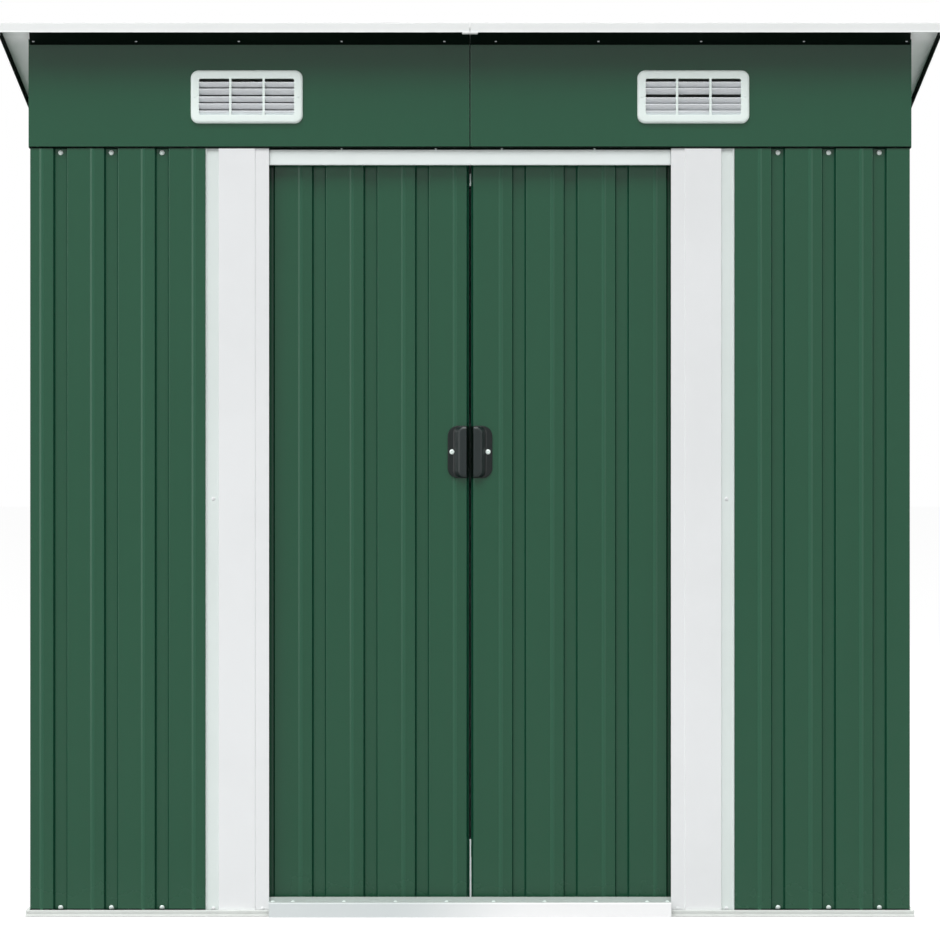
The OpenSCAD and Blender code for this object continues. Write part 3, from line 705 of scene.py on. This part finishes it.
# frame of the roof: first axis across, second down the slope, third square to it
roof = dict(millimetres(trimHeight=21, trimTop=30, trimThick=1.2, drop=10, pitch=209, foot=42, crest=24,
                        bend=3), angle=math.radians(11.3), ribsEachSide=5)
slopeCos, slopeSin = math.cos(roof["angle"]), math.sin(roof["angle"])
acrossUp = axes((1, 0, 0), up, (0, 1, 0))  # a section of width and height, drawn back
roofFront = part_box("roof_trim_front")[0].y
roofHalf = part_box("roof_trim_front")[1].x
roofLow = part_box("roof_trim_front")[1].z - roof["trimHeight"] * slopeCos
roofLong = (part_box("roof_trim_back")[1].y - roofFront - roof["trimHeight"] * slopeSin) / slopeCos
onRoof = axes((1, 0, 0), (0, slopeCos, -slopeSin), (0, slopeSin, slopeCos), (0, roofFront, roofLow))
onRoofAcross = onRoof @ lengthways
downRoof = onRoof @ acrossUp


def downSlope(y):
    # distance down the slope of a place along the shed
    return (y - roofFront) / slopeCos


# soffit under the front overhang, coated in near-black painted shade
soffitLook = dict(millimetres(lipBack=1.2, lipDrop=2.5, bend=0.8, seam=0.75, endGap=7), taper=0.1)
soffitBack = downSlope(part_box("front_soffit")[1].y)
lipAt = soffitBack - soffitLook["lipBack"]
soffitLine = [(roof["trimThick"], 0, 0), (lipAt, 0, soffitLook["bend"]), (lipAt, -soffitLook["lipDrop"], 0)]
soffit = Shape()
for side in (-1, 1):
    ends = (side * soffitLook["seam"], side * (wallHalf - soffitLook["endGap"]))
    taper = (0, side * soffitLook["taper"])
    soffit.fold(onRoofAcross, soffitLine, sheetThick, ends, taper, coats=(0, 0))
soffit.dress("front_soffit", dark)

# roof sheets
rise = roof["trimHeight"] - roof["trimThick"] - roof["drop"] - sheetThick
roofRibs = [side * (roof["pitch"] / 4 + k * roof["pitch"])
            for side in (-1, 1) for k in range(roof["ribsEachSide"])]
ribHalf, crestHalf = roof["foot"] / 2, roof["crest"] / 2
ribLine = ((-ribHalf, 0), (-crestHalf, rise), (crestHalf, rise), (ribHalf, 0))
for node in [node for node in slotOf if node.startswith("roof_sheet")]:
    low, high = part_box(node)
    line = [(low.x, roof["drop"], 0)]
    for x in sorted(roofRibs):
        if low.x < x - ribHalf and x + ribHalf < high.x:
            line += [(x + aside, roof["drop"] + lift, roof["bend"]) for aside, lift in ribLine]
    line.append((high.x, roof["drop"], 0))
    ends = (roof["trimThick"], roofLong - roof["trimThick"])
    Shape().fold(downRoof, line, sheetThick, ends, coats=(1, 0)).dress(node, roofGreen, roofGrey)

# roof trims, mitred at the corners, with a lip along the lower edge; their white is toned down as painted
# shade and their insides are near-black painted shade
trim = millimetres(bend=2.6, lipHeight=3.2, lipOut=1.0, lipBend=1.6, sideDrop=9, seam=1, clipWidth=32,
                   clipDeep=6, clipDrop=3, clipUp=0.6, clipEdge=1.2)
height = roof["trimHeight"]
trimLine = [(roof["trimTop"], height, 0), (0, height, trim["bend"]), (0, trim["lipHeight"], trim["lipBend"]),
            (-trim["lipOut"], 0, 0)]
atBack = onRoof @ axes((1, 0, 0), (0, -1, 0), up, (0, roofLong, 0)) @ lengthways
shape = Shape()
shape.fold(onRoofAcross, trimLine, roof["trimThick"], (-roofHalf, -trim["seam"] / 2), (1, 0))
shape.fold(onRoofAcross, trimLine, roof["trimThick"], (trim["seam"] / 2, roofHalf), (0, -1))
shape.block(onRoof, (-trim["clipWidth"] / 2, -trim["lipOut"], -trim["clipDrop"]),
            (trim["clipWidth"] / 2, trim["clipDeep"], trim["clipUp"]), trim["clipEdge"])
shape.dress("roof_trim_front", roofWhite, dark)
shape = Shape().fold(atBack, trimLine, roof["trimThick"], (-roofHalf, roofHalf), (1, -1))
shape.dress("roof_trim_back", roofWhite, dark)
for node, place in dict(roof_trim_left=mirror @ downRoof, roof_trim_right=downRoof).items():
    # the side trims reach lower than the one in front
    sideLine = [(roofHalf - p, q if q == height else q - trim["sideDrop"], r) for p, q, r in trimLine]
    shape = Shape().fold(place, sideLine, -roof["trimThick"], (roofHalf, roofLong - roofHalf), (-1, 1))
    shape.dress(node, roofWhite, dark)

# gables: a wedge of flat sheet, a hem on the top rail and a flange under the roof
gable = millimetres(topGap=0.3, roofGap=0.1, flange=11, hem=15, closerIn=12, closerOut=26, closerStart=3)
under = roof["drop"] - sheetThick - gable["roofGap"]
for node, place in dict(gable_left=mirror, gable_right=Matrix.Identity(4)).items():
    low, high = reachOf(node, place)
    wedge = [(low.y, low.z), (high.y, low.z), (low.y, high.z - gable["topGap"])]
    inFace = high.x - sheetThick
    shape = Shape().loft(place @ lengthways, [[(y, z, x) for y, z in wedge] for x in (inFace, high.x)])
    hemLine = [(high.x - gable["hem"], low.z, 0), (inFace, low.z, 0)]
    hemEnds = (low.y + gable["hem"], high.y - gable["hem"])
    shape.fold(place @ acrossUp, hemLine, sheetThick, hemEnds, coats=(0, 0))
    start, end = downSlope(low.y), downSlope(high.y)
    flangeLine = [(high.x, under, 0), (high.x + gable["flange"], under, 0)]
    shape.fold(place @ downRoof, flangeLine, sheetThick, (start, end), coats=(1, 1))
    # in front it widens and closes the outer rib of the roof
    closerLine = [(high.x - gable["closerIn"], under, 0), (high.x + gable["closerOut"], under, 0)]
    shape.fold(place @ downRoof, closerLine, sheetThick, (gable["closerStart"], start), coats=(1, 1))
    shape.dress(node, green, roofGrey)
print("front panel and roof made")

# vents
ventLook = dict(millimetres(cornerRadius=16, windowRadius=4, slatThick=3, slatMost=13, slatIn=0.8,
                            slatEdge=0.5, barWidth=5, barDeep=4, barEdge=0.8, sunk=0.4, lap=4),
                slatLean=math.radians(37), bars=(-33.2 * mm, 34.8 * mm), arcSteps=6)
# section of the rim, in shares of its width and of the depth of the vent
rimLine = ((0, 0), (0, 0.5), (0.06, 0.75), (0.2, 0.94), (0.34, 1), (0.86, 1), (0.97, 0.99), (1, 0.94),
           (1, 0))
# tops of the slats under the top of the window, in millimetres, and the gap left under each
slatTops = dict(vent_left=(6.4, 20.0, 36.0, 50.2, 64.8), vent_right=(6.0, 18.8, 38.0, 51.2, 64.8))
slatGaps = dict(vent_left=2.4 * mm, vent_right=0.6 * mm)


def roundedRect(start, end, tall, inner, outer, lift, steps):
    # a rectangle with round corners, with the inner radius at its start and the outer one at its end
    half = tall / 2
    corners = ((end, half, outer), (start, half, inner), (start, -half, inner), (end, -half, outer))
    points = []
    for k, (x, z, radius) in enumerate(corners):
        middleX = x - radius if x == end else x + radius
        middleZ = z - radius if z > 0 else z + radius
        for i in range(steps + 1):
            angle = math.pi / 2 * (k + i / steps)
            points.append((middleX + radius * math.cos(angle), middleZ + radius * math.sin(angle), lift))
    return points


for node in ("vent_left", "vent_right"):
    low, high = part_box(node)
    wide, deepVent, tall = high - low
    middle = (low + high) / 2
    outwards = axes((1, 0, 0), up, (0, -1, 0), (middle.x, high.y, middle.z))
    v = ventLook
    loops = []
    for share, lift in rimLine:
        cut = share * ventRim
        radius = v["cornerRadius"] + share * (v["windowRadius"] - v["cornerRadius"])
        half = wide / 2 - cut
        out = lift * deepVent
        loops.append(roundedRect(-half, half, tall - 2 * cut, radius, radius, out, v["arcSteps"]))
    shape = Shape().loft(outwards, loops, closed=True)
    windowTall = tall - 2 * ventRim
    slatEnd = wide / 2 - ventRim + v["sunk"]
    thick = v["slatThick"] / 2
    cosine, sine = math.cos(v["slatLean"]), math.sin(v["slatLean"])
    tops = [top * mm for top in slatTops[node]] + [windowTall + v["lap"]]
    for top, nextTop in zip(tops, tops[1:]):
        # a slat leans out at its top
        tallSlat = min(v["slatMost"], nextTop - top - slatGaps[node])
        z = windowTall / 2 - top - tallSlat / 2
        half = (tallSlat / 2 - thick * sine) / cosine
        out = deepVent - v["slatIn"] - half * sine - thick * cosine
        flatSlat = [(-half, -thick), (half, -thick), (half, thick), (-half, thick)]
        leaning = [(z + a * cosine - b * sine, out + a * sine + b * cosine, v["slatEdge"])
                   for a, b in flatSlat]
        shape.bar(outwards @ lengthways, leaning, -slatEnd, slatEnd, 1)
    half = v["barWidth"] / 2
    barTop = windowTall / 2 + v["lap"]
    barFront = deepVent - v["sunk"]
    for x in v["bars"]:
        start, end = (x - half, -barTop, barFront - v["barDeep"]), (x + half, barTop, barFront)
        shape.block(outwards, start, end, v["barEdge"])
    shape.dress(node, ventWhite, slatWhite)
print("vents made")

# doors
doorLook = dict(millimetres(leftBead=28.4, rightBead=60.6, bumperFrom=-0.7, bumperOut=4.7, bumperIn=1,
                            bumperFront=0.8, bumperBack=8, bumperEdge=0.3, railTall=25, sliderLong=26,
                            sliderEdge=1.6), bumpers=((0.034, 0.1525), (1.4925, 1.5175)))
for side, fold in (("left", 1), ("right", -1)):
    node = side + "_door_panel"
    low, high = reachOf(node, front)
    onDoor = front @ Matrix.Translation((0, low.y + sheet["beadHeight"], 0))
    bead = high.x - doorLook["leftBead"] if fold > 0 else low.x + doorLook["rightBead"]
    line = ribbedLine(low.x, high.x, bead, sheet["doorPitch"], fold, steep=True)
    shape = Shape().fold(onDoor, line, sheetThick, (low.z, high.z), marks=sheetCoat)
    shape.dress(node, green, grey, grooveGreen, ridgeGreen)
    node = side + "_door_rails"
    low, high = reachOf(node, front)
    tall, bend = doorLook["railTall"], rail["bend"]
    shape = Shape()
    for z in (low.z, high.z - tall):
        railLine = [(high.y, z + tall, 0), (low.y, z + tall, bend), (low.y, z, bend), (high.y, z, 0)]
        shape.fold(front @ lengthways, railLine, railThick, (low.x, high.x))
    if side == "left":
        # pale blocks at the top and the foot of the slit between the doors paint the light that shows
        # through it, each on a seat of near-black painted shade
        middle = doorLook["bumperFrom"]
        parts = ((high.x - doorLook["bumperIn"], middle, 2), (middle, high.x + doorLook["bumperOut"], 3))
        near, far = low.y + doorLook["bumperFront"], low.y + doorLook["bumperBack"]
        for foot, top in doorLook["bumpers"]:
            for start, end, coat in parts:
                shape.block(front, (start, near, foot), (end, far, top), doorLook["bumperEdge"], coat)
    shape.dress(node, white, white, dark, ventWhite)
    node = side + "_door_sliders"
    low, high = reachOf(node, front)
    long = doorLook["sliderLong"]
    panelLow, panelHigh = reachOf(side + "_door_panel", front)
    shape = Shape()
    for x in (low.x, high.x - long):
        for foot, top in ((low.z, panelLow.z), (panelHigh.z, high.z)):
            shape.block(front, (x, low.y, foot), (x + long, high.y, top), doorLook["sliderEdge"])
    shape.dress(node, slide)

# handles: a flange with a raised grip along the meeting edge
handle = dict(millimetres(cornerRadius=21, flange=5, flangeSide=3.4, gripFoot=25.5, gripTop=18.5,
                          gripRadius=13, gripInset=1.7, gripSunk=1, innerRadius=1.6, edgeWrap=3.8,
                          wrapDeep=8.4, wrapLap=1, wrapFront=2, wrapEdge=0.9, screwIn=8.6),
              arcSteps=8, screwScale=1.45)
# in millimetres: cut and drop of the edge of the flange, spread and lift of the foot of the grip,
# cut and drop of the edge of the grip, which rolls from its side to its front
flangeEdge = ((0.5, 0.6), (1.4, 0.0))
gripSpread = ((2.4, 0.0), (0.8, 0.5), (0.0, 1.6))
gripRoll = ((0, 3.2), (0.3, 2.2), (0.9, 1.6), (2.1, 0.95), (3.5, 0.35), (4.8, 0.06), (5.8, 0))


def handleLoop(wide, tall, outer, lift, start=0.0):
    # outline with the larger corners away from the meeting edge
    return roundedRect(start, wide, tall, handle["innerRadius"], outer, lift, handle["arcSteps"])


for side, flip in (("left", mirror), ("right", Matrix.Identity(4))):
    node = side + "_door_handle"
    low, high = reachOf(node, flip)
    wide, reach, tall = high - low
    h = handle
    onHandle = flip @ axes((1, 0, 0), up, (0, -1, 0), (low.x, high.y, (low.z + high.z) / 2))
    corner, flange = h["cornerRadius"], h["flange"]
    loops = [handleLoop(wide, tall, corner, lift) for lift in (0, h["flangeSide"])]
    for cut, drop in flangeEdge:
        cut *= mm
        loops.append(handleLoop(wide - cut, tall - 2 * cut, corner - cut, flange - drop * mm))
    shape = Shape().loft(onHandle, loops, coat=2)
    gripTall = tall - 2 * h["gripInset"]
    foot, top, radius = h["gripFoot"], h["gripTop"], h["gripRadius"]
    loops = [handleLoop(foot, gripTall, radius, flange - h["gripSunk"])]
    for out, lift in gripSpread:
        loops.append(handleLoop(foot + out * mm, gripTall, radius, flange + lift * mm))
    for cut, drop in gripRoll:
        cut *= mm
        lift = reach - drop * mm
        start = cut / 3  # the meeting edge is cut less
        loops.append(handleLoop(top - cut, gripTall - 2 * cut, radius - cut, lift, start))
    shape.loft(onHandle, loops)
    # the moulding reaches round the folded edge of the door, coated in near-black painted shade
    wrapTop = tall / 2 - h["wrapLap"]
    shape.block(onHandle, (-h["edgeWrap"], -wrapTop, -h["wrapDeep"]),
                (h["wrapLap"], wrapTop, h["wrapFront"]), h["wrapEdge"], 1)
    shape.dress(node, black, dark, blackFlange, sharp=50)
print("doors and handles made")

# screws: a washer, a domed head and a cross recess
screw = millimetres(washer=5.0, washerTall=1.1, head=3.7, tall=2.6, armLong=1.7, armWide=0.45, recess=0.9)
# sections of the washer and the head in shares of their radius and height, and how far the recess narrows
screwForm = dict(sides=18, narrows=0.8, washer=((1, 0), (1.02, 0.4), (0.97, 0.8), (0.84, 1)),
                 head=((1, 0), (1, 0.25), (0.95, 0.55), (0.84, 0.8), (0.7, 0.94), (0.55, 1)))


def screwHead(scale=1.0, washer=True):
    s = {key: value * scale for key, value in screw.items()}
    flat = s["washerTall"] if washer else 0
    profile = [(s["washer"] * r, flat * h) for r, h in screwForm["washer"]] if washer else []
    profile += [(s["head"] * r, flat + (s["tall"] - flat) * h) for r, h in screwForm["head"]]
    bm = bmesh.new()
    n = screwForm["sides"]
    spokes = [2 * math.pi * k / n for k in range(n)]
    rings = []
    for r, h in profile:
        rings.append([bm.verts.new((r * math.cos(a), r * math.sin(a), h)) for a in spokes])
    for a, b in zip(rings, rings[1:]):
        for k in range(n):
            bm.faces.new((a[k], a[(k + 1) % n], b[(k + 1) % n], b[k]))
    bm.faces.new(rings[0][::-1])
    long, narrow, top = s["armLong"], s["armWide"], s["tall"]
    quarter = [(long, -narrow), (long, narrow), (narrow, narrow)]
    cross = []
    for k in range(4):
        turn = Matrix.Rotation(k * math.pi / 2, 2)
        cross += [turn @ Vector(p) for p in quarter]
    arms = len(cross)
    taper = screwForm["narrows"]
    rimVerts = [bm.verts.new((p.x, p.y, top)) for p in cross]
    floorVerts = [bm.verts.new((p.x * taper, p.y * taper, top - s["recess"])) for p in cross]
    edges = [bm.edges.new((rimVerts[k], rimVerts[(k + 1) % arms])) for k in range(arms)]
    edges += [bm.edges.get((rings[-1][k], rings[-1][(k + 1) % n])) for k in range(n)]
    bmesh.ops.triangle_fill(bm, edges=edges, use_beauty=True)
    for k in range(arms):
        bm.faces.new((rimVerts[k], rimVerts[(k + 1) % arms], floorVerts[(k + 1) % arms], floorVerts[k]))
    bm.faces.new(floorVerts)
    return meshOf(bm)


def screws(name, finish, seats, scale=1.0, washer=True, body="shell"):
    # one joined piece with a screw on each seat, a point and the direction it faces
    verts, faces = screwHead(scale, washer)
    shape = Shape()
    for point, facing in seats:
        turn = Vector(facing).to_track_quat("Z", "Y").to_matrix().to_4x4()
        spin = Matrix.Rotation(dice.uniform(0, math.pi / 2), 4, "Z")
        shape.add(Matrix.Translation(point) @ turn @ spin, verts, faces, [0] * len(faces))
    return shape.build(name, [finish], body, sharp=45)


# rows at the foot and the top of the walls
wallRows = (16.5 * mm, wallTop - 8 * mm)
groove = sheet["grooveDepth"]
seats = [(place @ Vector((x, groove, z)), -place.col[1].xyz) for place, x in wallScrews for z in wallRows]
screws("wall_screws", screwWhite, seats)

toFront = Vector((0, -1, 0))
postScrews = dict(flangeIn=13 * mm, footHeight=15.5 * mm, middle=0.851, scale=0.8)
outerX, innerX = postEdge - postScrews["flangeIn"], openHalf + postScrews["flangeIn"]
postSeats = ((outerX, deep, postScrews["middle"]), (outerX, deep, postScrews["footHeight"]),
             (innerX, deepIn, postScrews["footHeight"]))
seats = [(front @ Vector((sign * x, y, z)), toFront) for sign in (-1, 1) for x, y, z in postSeats]
screws("post_screws", white, seats, postScrews["scale"])

sillScrews = dict(places=(48, 152, 257, 361, 402), back=18 * mm, scale=0.85)
seats = [(front @ Vector((sign * x * mm, sillFront + sillScrews["back"], sillTop)), up)
         for sign in (-1, 1) for x in sillScrews["places"]]
screws("sill_screws", screwWhite, seats, sillScrews["scale"])

# screws up into the rail above the doors
railScrews = dict(places=(-262, -70, 65, 254), back=6 * mm, scale=0.6)
seats = [(front @ Vector((x * mm, railScrews["back"], wallTop)), (0, 0, -1)) for x in railScrews["places"]]
screws("rail_screws", screwWhite, seats, railScrews["scale"], False)

soffitScrews = dict(back=16 * mm, scale=0.7)
overRoof = onRoof.col[2].xyz
seats = [(onRoof @ Vector((x, soffitBack - soffitScrews["back"], 0)), -overRoof) for x in roofRibs]
screws("soffit_screws", bare, seats, soffitScrews["scale"], False)

ventScrews = dict(scale=0.55)
seats = []
for node in ("vent_left", "vent_right"):
    low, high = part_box(node)
    for x in (low.x + ventRim / 2, high.x - ventRim / 2):
        seats.append((Vector((x, low.y, (low.z + high.z) / 2)), toFront))
screws("vent_screws", ventWhite, seats, ventScrews["scale"], False)

for side, sign in (("left", -1), ("right", 1)):
    low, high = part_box(side + "_door_handle")
    outer = max(abs(low.x), abs(high.x))
    seat = Vector((sign * (outer - handle["screwIn"]), high.y - handle["flange"], (low.z + high.z) / 2))
    screws(side + "_handle_screw", screwWhite, [(seat, toFront)], handle["screwScale"], False,
           side + "_door")

roofRows = (0.05, 0.5, 0.95)  # shares of the way down the roof
crestTop = roof["drop"] + rise + sheetThick
seats = [(onRoof @ Vector((x, share * roofLong, crestTop)), overRoof)
         for x in roofRibs for share in roofRows]
screws("roof_screws", screwWhite, seats)
print("screws made")

# floor, a plain pale plane that shows white and throws little light back
stage = dict(size=160, shown=0.96, shadow=0.08, bounce=0.42, mirrored=0.26, rough=0.9)
floorMesh = bpy.data.meshes.new("floor")
reach = stage["size"] / 2
corners = [(-reach, -reach, 0), (reach, -reach, 0), (reach, reach, 0), (-reach, reach, 0)]
floorMesh.from_pydata(corners, [], [(0, 1, 2, 3)])
floor = bpy.data.objects.new("floor", floorMesh)
scene.collection.objects.link(floor)
paint = Paint("paleFloor")
seen, mirrored = paint.rays()
glow = paint.mix(seen, paint.mix(mirrored, shade(0), shade(stage["mirrored"])), shade(stage["shown"]))
paint.finish(Base_Color=paint.mix(seen, shade(stage["bounce"]), shade(stage["shadow"])),
             Roughness=stage["rough"], Specular_IOR_Level=0.0, Emission_Color=glow, Emission_Strength=1.0)
floorMesh.materials.append(paint.material)

# the room: white to the camera, paler in reflections, and a weak fill all round
room = dict(fill=0.14, mirrored=0.86, shown=1.0)
scene.world = bpy.data.worlds.new("studio")
paint = Paint("studio", scene.world)
seen, mirrored = paint.rays()
unseen = paint.mix(mirrored, shade(room["fill"]), shade(room["mirrored"]))
paint.finish(Color=paint.mix(seen, unseen, shade(room["shown"])), Strength=1.0)

# lights: a wide softbox high in front, strips at the sides and a softbox behind
lights = dict(
    topFront=dict(place=(-2.1, -23.9, 33.4), aim=(0, -0.5, 1.0), size=(28, 23), power=15100),
    leftFront=dict(place=(-4.0, -4.0, 1.4), aim=(0, -0.5, 0.9), size=(4, 4), power=74),
    rightFront=dict(place=(4.0, -4.0, 1.4), aim=(0, -0.5, 0.9), size=(4, 4), power=26),
    leftSide=dict(place=(-8, 0.5, 3.5), aim=(0, 0, 1.0), size=(5, 4), power=310),
    rightSide=dict(place=(8, 0.5, 3.5), aim=(0, 0, 1.0), size=(5, 4), power=285),
    behind=dict(place=(1.5, 8.0, 6.5), aim=(0, 0.5, 0.8), size=(8, 5), power=750),
)
for name, light in lights.items():
    lamp = bpy.data.objects.new(name, bpy.data.lights.new(name, "AREA"))
    lamp.data.shape = "RECTANGLE"
    lamp.data.size, lamp.data.size_y = light["size"]
    lamp.data.energy = light["power"]
    lamp.location = light["place"]
    lamp.rotation_euler = (Vector(light["aim"]) - Vector(light["place"])).to_track_quat("-Z", "Y").to_euler()
    lamp.visible_camera = False
    scene.collection.objects.link(lamp)
scene.view_settings.view_transform = "Standard"
print("stage and lights made")
